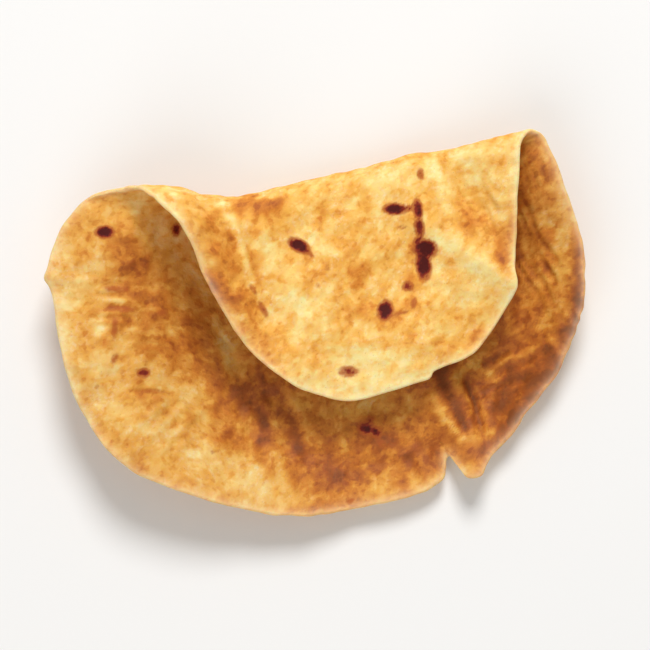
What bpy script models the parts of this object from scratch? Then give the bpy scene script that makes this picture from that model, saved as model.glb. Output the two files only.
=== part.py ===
"""A chapati: one thin, hand-rolled, griddled flatbread, lying folded over once.

The bread is one sheet. It is laid out unrolled in two sheet coordinates: `across`, which runs along
the fold, and `along`, the distance from the fold measured over the bread, negative on the lower layer
and positive on the flap. bend_sheet() turns that flat sheet into the lying bread: a dished lower
layer, a round fold at the back that is open on the left and tight on the right, and a flap that
comes forward over the lower layer with a gap under it.

Frame: +X runs along the fold, +Y points away, towards the fold, and +Z is up. The flat middle of
the dish rests on z = 0, and the origin lies under the middle of the bread's bounding box. Lengths
are in millimetres up to the last step, which turns them into metres.
"""
import math

import bmesh
import bpy
import numpy as np

MM = 0.001

NAME = "chapati"
THICKNESS = 2.0
CELLS = 46                      # mesh cells from side to side of the sheet
CURVE_STEPS = 16                # straight runs between two points of an outline
ROUND_END_STEPS = 24            # straight runs of the rim over each end of the fold

# Outlines as seen from above. Both rims run from the left end of the fold to its right end.
LOWER_RIM = (
    (-65.0, 44.0), (-74.0, 41.6), (-83.5, 33.0), (-88.0, 19.0), (-84.5, -4.0), (-79.0, -26.0),
    (-65.0, -45.5), (-41.0, -57.5), (-8.0, -64.5), (20.0, -61.0), (45.0, -51.0), (62.0, -38.0),
    (79.5, -15.0), (88.0, 5.0), (87.5, 26.0), (81.0, 46.0), (75.5, 59.0),
)
FLAP_RIM = (
    (-55.5, 42.0), (-43.2, 31.0), (-35.0, 12.0), (-23.5, -7.0), (-7.0, -20.5), (11.0, -25.5),
    (34.0, -19.5), (53.0, -8.0), (65.5, 9.0), (66.2, 33.0), (67.5, 58.0),
)
FOLD_LINE = (
    (-95.0, 44.5), (-75.0, 44.5), (-60.0, 44.8), (-45.0, 44.0), (-30.0, 41.3), (-14.0, 44.5),
    (5.0, 49.0), (30.0, 55.0), (60.0, 61.0), (73.0, 64.5), (95.0, 70.0),
)

# The dish is the hollow of a round bowl: flat in the middle, then rising to a level brim.
DISH_CENTRE = (16.0, 0.0)
DISH_FLAT_RADIUS = 45.0
DISH_BRIM_RADIUS = 88.0
DISH_RISE = 20.0

# The fold's bend is widest near its open left end and shrinks to the right. It also runs out at the
# left, where the lower layer's margin lies almost level. The flap's edge hangs between two high ends.
BEND_RADII = (
    (-95.0, 4.0), (-78.0, 5.0), (-66.0, 8.0), (-54.0, 10.8), (-40.0, 10.8), (-15.0, 9.3),
    (15.0, 7.7), (45.0, 6.1), (75.0, 4.6), (95.0, 3.6),
)
FLAP_EDGE_HEIGHTS = ((-62.0, 41.0), (-40.0, 30.5), (-15.0, 21.5), (15.0, 17.5), (45.0, 16.5), (75.0, 22.0))
FLAP_LENGTH = 90.0

# Creases: start, end, half width and height (negative for a valley), as seen from above. The pleat
# is the short gathered fold in the lower layer's front right margin.
FLAP_CREASES = (
    ((-32.0, 42.0), (-17.0, 2.0), 5.5, -1.6),
    ((42.0, 57.0), (66.0, 19.0), 5.0, -1.8),
    ((34.0, 33.0), (64.0, 13.5), 4.5, 1.4),
)
PLEAT = ((39.0, -18.0), (52.0, -50.0), 7.0, 3.5)

# Long, low waves of the baked sheet: wavelengths across and away, phase, height. They fade out on
# the flat middle of the dish and on the fold.
WAVES = ((47.0, 83.0, 0.4, 0.5), (-61.0, 39.0, 1.9, 0.45), (33.0, -71.0, 4.1, 0.3))
WAVE_LIFT = 0.6                 # keeps the lower layer's waves above the dish
WAVE_FADE_DISH = 20.0
WAVE_FADE_FOLD = 25.0


def smooth_step(value):
    """0 below 0, 1 above 1, and a smooth rise between."""
    value = np.clip(value, 0.0, 1.0)
    return value * value * (3.0 - 2.0 * value)


def smooth_curve(points):
    """Points on the Catmull-Rom curve through the given points."""
    points = np.array(points, dtype=float)
    points = np.vstack([2 * points[:1] - points[1:2], points, 2 * points[-1:] - points[-2:-1]])
    share = np.linspace(0.0, 1.0, CURVE_STEPS, endpoint=False)[:, None]
    spans = []
    for before, start, end, after in zip(points, points[1:], points[2:], points[3:]):
        bow = 2 * before - 5 * start + 4 * end - after
        twist = 3 * start - before - 3 * end + after
        spans.append(start + 0.5 * share * (end - before + share * (bow + share * twist)))
    return np.vstack(spans + [points[-2:-1]])


def along_x(points, x):
    """Height of the smooth curve through the points, read at x."""
    curve = smooth_curve(points)
    return np.interp(x, curve[:, 0], curve[:, 1])


def bend_radius(x):
    """Radius of the fold's bend at x."""
    return along_x(BEND_RADII, x)


def beyond_flat(x, y):
    """Distance outside the flat middle of the dish."""
    return np.hypot(x - DISH_CENTRE[0], y - DISH_CENTRE[1]) - DISH_FLAT_RADIUS


def dish_height(x, y):
    """Height of the lower layer's underside."""
    return DISH_RISE * smooth_step(beyond_flat(x, y) / (DISH_BRIM_RADIUS - DISH_FLAT_RADIUS))


def arc_for_depth(depth, radius):
    """Length over the bread from the fold line to a point that lies depth in front of it."""
    turned = np.arccos(1.0 - np.clip(depth / radius, 0.0, 1.0))
    return radius * turned + np.maximum(depth - radius, 0.0)


def depth_for_arc(arc, radius):
    """The reverse of arc_for_depth."""
    turned = np.minimum(arc / radius, math.pi / 2)
    return radius * (1.0 - np.cos(turned)) + np.maximum(arc - radius * math.pi / 2, 0.0)


def unrolled(rim, side):
    """Sheet coordinates of a rim given as seen from above; side is -1 below, 1 on the flap."""
    x, y = smooth_curve(rim).T
    depth = along_x(FOLD_LINE, x) - y
    return np.column_stack([x, side * arc_for_depth(depth, bend_radius(x))])


def round_end(rim, next_rim):
    """Smooth run of the rim over the fold, from the end of one stretch to the start of the next."""
    start, end = rim[-1], next_rim[0]
    span = np.hypot(*(end - start))
    leave = (start - rim[-2]) / np.hypot(*(start - rim[-2])) * span
    arrive = (next_rim[1] - end) / np.hypot(*(next_rim[1] - end)) * span
    share = np.linspace(0.0, 1.0, ROUND_END_STEPS + 1)[1:-1, None]
    eased = share * share * (3.0 - 2.0 * share)
    bow = share * (1.0 - share)
    return start + eased * (end - start) + bow * ((1.0 - share) * leave - share * arrive)


def sheet_outline():
    """Centre of the unrolled sheet, and its rim as a reach from that centre for each angle."""
    lower = unrolled(LOWER_RIM, -1)
    flap = unrolled(FLAP_RIM, 1)[::-1]
    curve = np.vstack([lower, round_end(lower, flap), flap, round_end(flap, lower)])
    centre = (curve.min(axis=0) + curve.max(axis=0)) / 2
    spokes = curve - centre
    angles = np.arctan2(spokes[:, 1], spokes[:, 0])
    order = np.argsort(angles)
    return centre, angles[order], np.hypot(spokes[:, 0], spokes[:, 1])[order]


def crease_height(x, y, crease):
    """Rounded ridge or valley along a straight line between two points."""
    start, end, half_width, height = crease
    run = np.subtract(end, start)
    share = np.clip(((x - start[0]) * run[0] + (y - start[1]) * run[1]) / (run @ run), 0.0, 1.0)
    gap = np.hypot(x - start[0] - share * run[0], y - start[1] - share * run[1])
    return height * np.exp(-(gap / half_width) ** 2)


def wave_height(x, y):
    return sum(
        height * np.sin(2 * math.pi * (x / length_x + y / length_y) + phase)
        for length_x, length_y, phase, height in WAVES
    )


def bend_sheet(across, along):
    """Place of a point of the sheet's outer face: the underside below, the top on the flap."""
    radius = bend_radius(across)
    fold_y = along_x(FOLD_LINE, across)
    arc = np.abs(along)
    x = across
    y = fold_y - depth_for_arc(arc, radius)
    bend_rise = radius * (1.0 - np.sin(np.minimum(arc / radius, math.pi / 2)))
    off_fold = smooth_step(arc / WAVE_FADE_FOLD)

    off_flat = smooth_step(beyond_flat(x, y) / WAVE_FADE_DISH)
    lower = dish_height(x, y) + bend_rise + crease_height(x, y, PLEAT)
    lower += off_fold * off_flat * (wave_height(x, y) + WAVE_LIFT)

    crest = dish_height(x, fold_y) + 2.0 * radius
    edge = along_x(FLAP_EDGE_HEIGHTS, x)
    share = smooth_step(arc / FLAP_LENGTH)
    flap = crest + share * (edge - crest) - bend_rise
    flap += off_fold * (wave_height(y, x) + sum(crease_height(x, y, crease) for crease in FLAP_CREASES))
    return x, y, np.where(along < 0.0, lower, flap)


def make_sheet():
    """The outer face of the bread as an open grid of cells, bent into place."""
    grid = bmesh.new()
    bmesh.ops.create_grid(grid, x_segments=CELLS, y_segments=CELLS, size=1.0)
    square = np.array([vertex.co[:2] for vertex in grid.verts])
    disc = square * np.sqrt(1.0 - square[:, ::-1] ** 2 / 2.0)
    centre, angles, reaches = sheet_outline()
    reach = np.interp(np.arctan2(disc[:, 1], disc[:, 0]), angles, reaches, period=2 * math.pi)
    sheet = centre + disc * reach[:, None]
    place = np.column_stack(bend_sheet(sheet[:, 0], sheet[:, 1]))
    place[:, :2] -= (place[:, :2].min(axis=0) + place[:, :2].max(axis=0)) / 2
    for vertex, point in zip(grid.verts, place * MM):
        vertex.co = point
    mesh = bpy.data.meshes.new(NAME)
    grid.to_mesh(mesh)
    grid.free()
    mesh.shade_smooth()
    return mesh


def bread_material():
    material = bpy.data.materials.new("griddled_bread")
    material.use_nodes = True
    shader = material.node_tree.nodes["Principled BSDF"]
    shader.inputs["Base Color"].default_value = (0.78, 0.47, 0.17, 1.0)
    shader.inputs["Roughness"].default_value = 0.7
    shader.inputs["Metallic"].default_value = 0.0
    return material


def make_chapati():
    bread = bpy.data.objects.new(NAME, make_sheet())
    bread.data.materials.append(bread_material())
    shell = bread.modifiers.new("thickness", "SOLIDIFY")
    shell.thickness = THICKNESS * MM
    shell.offset = 1.0
    return bread


def main():
    for old in list(bpy.data.objects):
        bpy.data.objects.remove(old)
    parts = bpy.data.collections.new(NAME)
    bpy.context.scene.collection.children.link(parts)
    parts.objects.link(make_chapati())


main()
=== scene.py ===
"""A griddled chapati lying folded over once: its fine surface, its looks, and a plain studio around it.

The bread is one sheet with two sheet coordinates in millimetres: `across`, along the fold, and
`along`, the distance from the fold over the bread, negative on the lower layer and positive on the
flap. bend_sheet() is the CAD part's own bend. This script repeats it on a finer grid and inside a
more detailed rim, and adds blisters, creases, wrinkles and a rounded, ragged edge. It paints three
masks on the bread: toast (how browned, and also painted light and shade: darker in the shade under and
beside the flap, lighter on ridges and inside the fold's open end), burn (charred spots) and flour
(pale dusting). The material turns the masks into colours.

Plan coordinates are millimetres seen from above, with +y towards the fold. The sheet's outer face is
the lower layer's underside and the flap's top. Its inner face is the lower layer's top and the flap's
underside.
"""
import math

import bpy
import numpy as np
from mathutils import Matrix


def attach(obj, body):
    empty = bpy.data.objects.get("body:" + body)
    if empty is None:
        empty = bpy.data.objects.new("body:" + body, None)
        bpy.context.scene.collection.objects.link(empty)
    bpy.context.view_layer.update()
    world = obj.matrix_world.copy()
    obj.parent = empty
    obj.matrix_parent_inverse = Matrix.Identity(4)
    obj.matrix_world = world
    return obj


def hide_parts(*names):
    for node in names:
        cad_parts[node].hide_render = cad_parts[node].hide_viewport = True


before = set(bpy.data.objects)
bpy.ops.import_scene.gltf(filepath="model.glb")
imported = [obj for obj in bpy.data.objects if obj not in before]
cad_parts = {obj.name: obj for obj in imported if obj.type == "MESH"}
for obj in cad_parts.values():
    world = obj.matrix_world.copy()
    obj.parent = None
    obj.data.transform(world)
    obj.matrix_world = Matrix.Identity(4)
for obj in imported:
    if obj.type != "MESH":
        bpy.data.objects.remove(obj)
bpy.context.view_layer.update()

MM = 0.001
PLAN_ORIGIN = (0.37, -0.36)     # where the CAD part's origin lies in plan coordinates
CELLS = 216                     # cells from side to side of the fine grid
CURVE_STEPS = 16                # straight runs between two points of an outline
ROUND_END_STEPS = 24            # straight runs of the rim over each end of the fold
SLOPE_STEP = 0.3                # the surface's slopes are read between points this far to each side

THICKNESS = 2.0
RIM_THICKNESS = 1.5
RIM_TAPER = 5.0                 # width of the margin over which the bread thins towards its rim
RIM_STEPS = 3                   # rows of points round the rim's edge

# The points inside the sheet follow an averaged rim, so that the notch does not shear them.
NOTCH_SPREAD = 9.0              # degrees to each side over which the rim is averaged
NOTCH_SAMPLES = 13
NOTCH_SHARE = 0.76              # share of the way out at which points begin to turn to the true rim

# Even random fields: usual size, length of a bump with its hollow, number of waves, seed.
RAGGED_RIM = ((0.10, 14.0, 30, 41),)
UNEVEN_THICKNESS = ((0.10, 8.0, 40, 42),)
UNEVEN_SURFACE = ((0.16, 26.0, 40, 11), (0.13, 9.0, 60, 12), (0.065, 4.5, 80, 13))
UNEVEN_TOAST = ((0.02, 22.0, 40, 31), (0.05, 9.0, 60, 32), (0.035, 4.2, 80, 33))
UNEVEN_FLOUR = ((0.22, 13.0, 50, 34), (0.16, 5.0, 70, 35))
LENGTH_SPREAD = (0.7, 1.4)      # least and greatest length of a wave, over the length in its row
RIM_CIRCLE = 100.0              # radius of the circle on which the rim's field is read

# ---------------------------------------------------------------- the bend of the sheet

# The rims run from the left end of the fold to its right end. They follow the CAD part's, and add the
# point on the left side, the notch and the small tab at the front right, and the step in the flap's
# rim above them.
LOWER_RIM = (
    (-65.0, 44.2), (-74.0, 41.8), (-82.0, 33.8), (-86.6, 25.1), (-88.6, 17.7), (-89.5, 14.4),
    (-87.8, 11.2), (-86.2, 5.0), (-84.3, -7.0), (-79.0, -26.0), (-65.0, -45.5), (-41.0, -57.5),
    (-8.0, -64.5), (20.0, -61.0), (34.0, -57.2), (41.4, -52.8), (42.9, -49.0), (43.2, -45.9),
    (44.3, -44.7), (45.7, -45.6), (48.7, -50.5), (50.6, -52.0), (54.4, -51.3), (56.4, -47.6),
    (59.0, -43.6), (64.8, -37.6), (70.0, -30.4), (80.6, -15.4), (88.0, 5.0), (87.5, 26.0), (81.0, 46.0),
    (75.5, 59.0),
)
FLAP_RIM = (
    (-56.0, 43.2), (-49.8, 38.9), (-43.4, 31.2), (-37.8, 19.6), (-34.6, 12.0), (-23.5, -7.0),
    (-7.0, -20.5), (11.0, -25.5), (32.0, -20.0), (36.9, -18.4), (38.3, -16.0), (41.5, -14.4),
    (49.2, -11.2), (54.2, -6.6), (64.0, 8.6), (65.4, 13.6), (64.7, 19.0), (64.6, 33.0), (65.6, 57.0),
)
FOLD_LINE = (
    (-95.0, 44.5), (-75.0, 44.5), (-60.0, 44.8), (-45.0, 44.0), (-30.0, 41.3), (-14.0, 44.5),
    (5.0, 49.0), (30.0, 55.0), (60.0, 61.0), (73.0, 64.5), (95.0, 70.0),
)

# The dish is the hollow of a round bowl: flat in the middle, then rising to a level brim.
DISH_CENTRE = (16.0, 0.0)
DISH_FLAT_RADIUS = 45.0
DISH_BRIM_RADIUS = 88.0
DISH_RISE = 20.0

# The fold's bend is widest near its open left end, and the flap's edge hangs between two high ends.
BEND_RADII = (
    (-95.0, 4.0), (-78.0, 5.0), (-66.0, 8.0), (-54.0, 10.8), (-40.0, 10.8), (-15.0, 9.3),
    (15.0, 7.7), (45.0, 6.1), (75.0, 4.6), (95.0, 3.6),
)
FLAP_EDGE_HEIGHTS = ((-62.0, 41.0), (-40.0, 30.5), (-15.0, 21.5), (15.0, 17.5), (45.0, 16.5), (75.0, 22.0))
FLAP_LENGTH = 90.0

# Creases: start, end, half width and height, negative for a valley.
FLAP_CREASES = (
    ((-32.0, 42.0), (-17.0, 2.0), 5.5, -1.6),
    ((42.0, 57.0), (66.0, 19.0), 5.0, -1.8),
    ((34.0, 33.0), (64.0, 13.5), 4.5, 1.4),
)
PLEAT = ((39.0, -18.0), (52.0, -50.0), 7.0, 3.5)

# Long, low waves: wavelengths across and away, phase, height.
WAVES = ((47.0, 83.0, 0.4, 0.5), (-61.0, 39.0, 1.9, 0.45), (33.0, -71.0, 4.1, 0.3))
WAVE_LIFT = 0.6                 # keeps the lower layer's waves above the dish
WAVE_FADE_DISH = 20.0
WAVE_FADE_FOLD = 25.0


def smooth_step(value):
    """0 below 0, 1 above 1, and a smooth rise between."""
    value = np.clip(value, 0.0, 1.0)
    return value * value * (3.0 - 2.0 * value)


def smooth_curve(points):
    """Points on the Catmull-Rom curve through the given points."""
    points = np.array(points, dtype=float)
    points = np.vstack([2 * points[:1] - points[1:2], points, 2 * points[-1:] - points[-2:-1]])
    share = np.linspace(0.0, 1.0, CURVE_STEPS, endpoint=False)[:, None]
    spans = []
    for before, start, end, after in zip(points, points[1:], points[2:], points[3:]):
        bow = 2 * before - 5 * start + 4 * end - after
        twist = 3 * start - before - 3 * end + after
        spans.append(start + 0.5 * share * (end - before + share * (bow + share * twist)))
    return np.vstack(spans + [points[-2:-1]])


def along_x(points, x):
    """Height of the smooth curve through the points, read at x."""
    curve = smooth_curve(points)
    return np.interp(x, curve[:, 0], curve[:, 1])


def bend_radius(x):
    """Radius of the fold's bend at x."""
    return along_x(BEND_RADII, x)


def beyond_flat(x, y):
    """Distance outside the flat middle of the dish."""
    return np.hypot(x - DISH_CENTRE[0], y - DISH_CENTRE[1]) - DISH_FLAT_RADIUS


def dish_height(x, y):
    """Height of the lower layer's underside."""
    return DISH_RISE * smooth_step(beyond_flat(x, y) / (DISH_BRIM_RADIUS - DISH_FLAT_RADIUS))


def arc_for_depth(depth, radius):
    """Length over the bread from the fold line to a point that lies depth in front of it."""
    turned = np.arccos(1.0 - np.clip(depth / radius, 0.0, 1.0))
    return radius * turned + np.maximum(depth - radius, 0.0)


def depth_for_arc(arc, radius):
    """The reverse of arc_for_depth."""
    turned = np.minimum(arc / radius, math.pi / 2)
    return radius * (1.0 - np.cos(turned)) + np.maximum(arc - radius * math.pi / 2, 0.0)


def unrolled(rim, side):
    """Sheet coordinates of a rim given in plan; side is -1 below, 1 on the flap."""
    x, y = smooth_curve(rim).T
    depth = along_x(FOLD_LINE, x) - y
    return np.column_stack([x, side * arc_for_depth(depth, bend_radius(x))])


def round_end(rim, next_rim):
    """Smooth run of the rim over the fold, from the end of one stretch to the start of the next."""
    start, end = rim[-1], next_rim[0]
    span = np.hypot(*(end - start))
    leave = (start - rim[-2]) / np.hypot(*(start - rim[-2])) * span
    arrive = (next_rim[1] - end) / np.hypot(*(next_rim[1] - end)) * span
    share = np.linspace(0.0, 1.0, ROUND_END_STEPS + 1)[1:-1, None]
    eased = share * share * (3.0 - 2.0 * share)
    bow = share * (1.0 - share)
    return start + eased * (end - start) + bow * ((1.0 - share) * leave - share * arrive)


def sheet_outline():
    """Centre of the unrolled sheet, and its rim as a reach from that centre for each angle."""
    lower = unrolled(LOWER_RIM, -1)
    flap = unrolled(FLAP_RIM, 1)[::-1]
    curve = np.vstack([lower, round_end(lower, flap), flap, round_end(flap, lower)])
    centre = (curve.min(axis=0) + curve.max(axis=0)) / 2
    spokes = curve - centre
    angles = np.arctan2(spokes[:, 1], spokes[:, 0])
    order = np.argsort(angles)
    return centre, angles[order], np.hypot(spokes[:, 0], spokes[:, 1])[order]


def plane_waves(points, length, count, seed):
    """Even random field with bumps about half of `length` wide; its usual size is 1."""
    rng = np.random.default_rng(seed)
    field = np.zeros(len(points))
    for _ in range(count):
        direction = rng.normal(size=points.shape[1])
        direction *= 2 * math.pi / (np.linalg.norm(direction) * length * rng.uniform(*LENGTH_SPREAD))
        field += np.sin(points @ direction + rng.uniform(0.0, 2 * math.pi))
    return field * math.sqrt(2.0 / count)


def uneven(points, rows):
    """Sum of the even random fields of the given rows."""
    return sum(size * plane_waves(points, *row) for size, *row in rows)


def spread_out(turn, share, angles, reaches):
    """Distance from the sheet's middle of points in the directions `turn`, at a share of the way out."""
    on_circle = RIM_CIRCLE * np.column_stack([np.cos(turn), np.sin(turn)])
    rim = np.interp(turn, angles, reaches, period=2 * math.pi) + uneven(on_circle, RAGGED_RIM)
    nearby = np.radians(np.linspace(-NOTCH_SPREAD, NOTCH_SPREAD, NOTCH_SAMPLES))
    averaged = sum(np.interp(turn + off, angles, reaches, period=2 * math.pi) for off in nearby)
    averaged /= NOTCH_SAMPLES
    past = np.maximum(share - NOTCH_SHARE, 0.0) / (1.0 - NOTCH_SHARE)
    return share * averaged + past ** 2 * (rim - averaged)


def crease_height(x, y, crease):
    """Rounded ridge or valley along a straight line between two points."""
    start, end, half_width, height = crease
    run = np.subtract(end, start)
    share = np.clip(((x - start[0]) * run[0] + (y - start[1]) * run[1]) / (run @ run), 0.0, 1.0)
    gap = np.hypot(x - start[0] - share * run[0], y - start[1] - share * run[1])
    return height * np.exp(-(gap / half_width) ** 2)


def wave_height(x, y):
    return sum(
        height * np.sin(2 * math.pi * (x / length_x + y / length_y) + phase)
        for length_x, length_y, phase, height in WAVES
    )


def bend_sheet(across, along):
    """Place of a point of the sheet's outer face: the underside below, the top on the flap."""
    radius = bend_radius(across)
    fold_y = along_x(FOLD_LINE, across)
    arc = np.abs(along)
    x = across
    y = fold_y - depth_for_arc(arc, radius)
    bend_rise = radius * (1.0 - np.sin(np.minimum(arc / radius, math.pi / 2)))
    off_fold = smooth_step(arc / WAVE_FADE_FOLD)

    off_flat = smooth_step(beyond_flat(x, y) / WAVE_FADE_DISH)
    lower = dish_height(x, y) + bend_rise + crease_height(x, y, PLEAT)
    lower += off_fold * off_flat * (wave_height(x, y) + WAVE_LIFT)

    crest = dish_height(x, fold_y) + 2.0 * radius
    edge = along_x(FLAP_EDGE_HEIGHTS, x)
    share = smooth_step(arc / FLAP_LENGTH)
    flap = crest + share * (edge - crest) - bend_rise
    flap += off_fold * (wave_height(y, x) + sum(crease_height(x, y, crease) for crease in FLAP_CREASES))
    return x, y, np.where(along < 0.0, lower, flap)


# ---------------------------------------------------------------- blisters, creases and wrinkles

# Blisters: place in plan, radius and height. All rise upwards.
FLAP_DOMES = (
    (10.3, 33.3, 8.0, 0.9), (-2.0, 31.0, 5.0, 0.5), (26.0, 46.0, 6.5, 0.5), (5.0, 22.0, 5.5, 0.4),
    (-8.0, 12.0, 6.5, 0.5), (0.0, 1.0, 7.0, 0.6), (22.0, 24.0, 6.0, 0.5), (45.0, 16.0, 7.0, 0.5),
    (33.0, -6.0, 7.0, 0.5), (14.0, -8.0, 6.0, 0.45), (52.0, 3.0, 5.5, 0.4), (-20.0, 30.0, 5.0, 0.4),
)
LOWER_DOMES = (
    (-36.0, -44.0, 7.5, 0.7), (-44.0, -29.0, 7.0, 0.6), (-70.0, -13.5, 4.5, 0.5),
    (-62.0, -33.0, 6.0, 0.5), (-18.0, -50.0, 7.0, 0.6), (17.5, -35.5, 5.0, 0.5),
    (28.0, -44.0, 6.0, 0.5), (-74.0, 20.0, 6.0, 0.5), (77.0, 28.0, 5.0, 0.6), (80.0, 10.0, 4.5, 0.6),
    (70.0, 2.0, 5.0, 0.5), (-54.0, 4.0, 6.0, 0.5),
)
# Creases: start, end, half width, height, negative for a valley.
FLAP_FINE_CREASES = (
    ((39.0, 32.0), (65.6, 13.8), 2.2, 0.3), ((39.5, 50.0), (43.5, 36.0), 1.8, 0.4),
    ((43.5, 36.0), (63.0, 16.5), 1.8, -0.4), ((-31.0, 40.0), (-17.0, 3.0), 1.6, 0.45),
    ((-22.5, 22.0), (-18.0, 6.0), 1.7, -0.45), ((-42.0, 36.0), (-22.0, -3.0), 3.0, 0.5),
    ((-2.0, 30.5), (5.5, 22.0), 1.2, 0.4), ((39.5, 55.5), (41.5, 51.0), 1.0, -0.6),
)
LOWER_FINE_CREASES = (
    ((-90.0, 15.0), (-76.0, 13.5), 2.0, 0.6), ((-88.0, 9.5), (-77.0, 7.0), 2.6, -0.5),
    ((38.5, -25.0), (49.0, -40.0), 1.9, 0.9), ((40.6, -17.0), (49.0, -36.0), 1.8, -1.0),
    ((45.2, -19.0), (53.0, -42.0), 1.9, 0.8), ((50.0, -20.0), (54.6, -36.0), 1.7, -0.8),
    ((53.2, -22.0), (58.2, -38.0), 1.8, 0.7), ((7.8, -26.0), (8.6, -61.0), 1.0, 0.3),
    ((50.0, -12.5), (57.5, -17.5), 1.2, 0.6), ((57.5, -17.5), (66.0, -11.0), 1.3, 0.6),
    ((66.0, -13.0), (80.0, -6.0), 1.5, 0.6), ((60.0, -22.0), (70.0, -20.0), 1.4, -0.6),
    ((-17.0, -24.0), (-8.0, -43.0), 2.0, -0.6), ((-15.0, -34.0), (-13.0, -45.0), 1.8, 0.4),
    ((-62.0, -23.0), (-50.0, -24.5), 0.9, -0.5),
)
# Patches of fine wrinkles: middle, reach along and across them, their turn in degrees, spacing, height.
FLAP_WRINKLES = (
    (56.0, 36.0, 17.0, 7.0, -62, 3.4, 0.22), (-31.0, 14.0, 22.0, 5.0, -64, 3.2, 0.18),
    (10.0, 32.0, 12.0, 10.0, 20, 5.0, 0.12),
)
LOWER_WRINKLES = (
    (-67.0, 5.5, 6.0, 11.0, -4, 3.7, 0.4), (49.5, -29.0, 13.0, 6.0, -66, 3.9, 0.24),
    (76.5, 14.0, 28.0, 10.0, -62, 3.6, 0.44), (73.5, 48.0, 13.0, 4.5, -84, 2.6, 0.22),
    (63.0, -15.0, 12.0, 8.0, 15, 4.6, 0.35), (-14.0, -37.0, 14.0, 14.0, -68, 7.5, 0.35),
    (30.0, -44.0, 12.0, 12.0, -60, 5.5, 0.2), (-48.0, -33.0, 14.0, 12.0, 40, 5.0, 0.22),
)
FLAP_FOLDS = (FLAP_FINE_CREASES, FLAP_WRINKLES)
LOWER_FOLDS = (LOWER_FINE_CREASES, LOWER_WRINKLES)

WRINKLE_WAVES = 24
SWAY = 1.2                      # radians by which the wrinkles wander
SWAY_LENGTH = 3.0               # in spacings
SWAY_SEED = 51
SWELL = 0.4                     # share of a wrinkle's height that comes and goes
SWELL_LENGTH = 2.0              # in spacings
SWELL_SEED = 52
WRINKLE_STRETCH = 2.5           # sway and swell are this much longer along the wrinkles

STRAY_BLISTERS = 340            # small blisters and dents all over the sheet
STRAY_BLISTER_SEED = 7
STRAY_BLISTER_AREA = ((-90.0, -120.0), (90.0, 82.0))
STRAY_BLISTER_RADII = (1.8, 6.5)
STRAY_BLISTER_RISES = (0.05, 0.085)      # height over radius

RELIEF_FADE_START = 6.0         # distance from the fold at which the two layers' own relief begins
RELIEF_FADE = 14.0
REST_LIFT = 0.3                 # lifts the flat middle, which then rests on its blisters


def dome(x, y, middle_x, middle_y, radius):
    """A blister's rounded cap, 1 at its middle."""
    near = np.clip(1.0 - ((x - middle_x) ** 2 + (y - middle_y) ** 2) / radius ** 2, 0.0, 1.0)
    return near * near


def domes(x, y, rows):
    return sum(height * dome(x, y, *place) for *place, height in rows)


def stray_blisters(across, along):
    """Height of the small blisters, positive or negative, which are scattered over the sheet."""
    rng = np.random.default_rng(STRAY_BLISTER_SEED)
    blisters = np.zeros(len(across))
    for _ in range(STRAY_BLISTERS):
        middle = rng.uniform(*STRAY_BLISTER_AREA)
        radius = rng.uniform(*STRAY_BLISTER_RADII)
        height = rng.choice((-1.0, 1.0)) * rng.uniform(*STRAY_BLISTER_RISES) * radius
        blisters += height * dome(across, along, *middle, radius)
    return blisters


def wrinkle_patch(x, y, middle_x, middle_y, reach_along, reach_across, turn, spacing, height):
    """Uneven wrinkles that run at an angle of `turn` and fade towards the edge of their patch."""
    cos, sin = math.cos(math.radians(turn)), math.sin(math.radians(turn))
    down = (x - middle_x) * cos + (y - middle_y) * sin
    over = (y - middle_y) * cos - (x - middle_x) * sin
    window = np.exp(-(down / reach_along) ** 4 - (over / reach_across) ** 4)
    place = np.column_stack([down / WRINKLE_STRETCH, over])
    sway = SWAY * plane_waves(place, SWAY_LENGTH * spacing, WRINKLE_WAVES, SWAY_SEED)
    swell = 1.0 - SWELL + SWELL * plane_waves(place, SWELL_LENGTH * spacing, WRINKLE_WAVES, SWELL_SEED)
    return height * window * swell * np.sin(2 * math.pi * over / spacing + sway)


def folds(x, y, creases, wrinkles):
    """Upward height of one layer's creases and wrinkles."""
    ridges = sum(crease_height(x, y, crease) for crease in creases)
    return ridges + sum(wrinkle_patch(x, y, *row) for row in wrinkles)


def fine_relief(across, along, x, y):
    """How far the bread's middle lies towards its outer face, in millimetres."""
    on_flap = along > 0.0
    off_fold = smooth_step((np.abs(along) - RELIEF_FADE_START) / RELIEF_FADE)
    flap = domes(x, y, FLAP_DOMES) + folds(x, y, *FLAP_FOLDS)
    lower = domes(x, y, LOWER_DOMES) + folds(x, y, *LOWER_FOLDS)
    lower += REST_LIFT * (1.0 - smooth_step(beyond_flat(x, y) / WAVE_FADE_DISH))
    scattered = stray_blisters(across, along) + uneven(np.column_stack([across, along]), UNEVEN_SURFACE)
    return scattered + off_fold * np.where(on_flap, flap, -lower)


# ---------------------------------------------------------------- masks for the material

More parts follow.
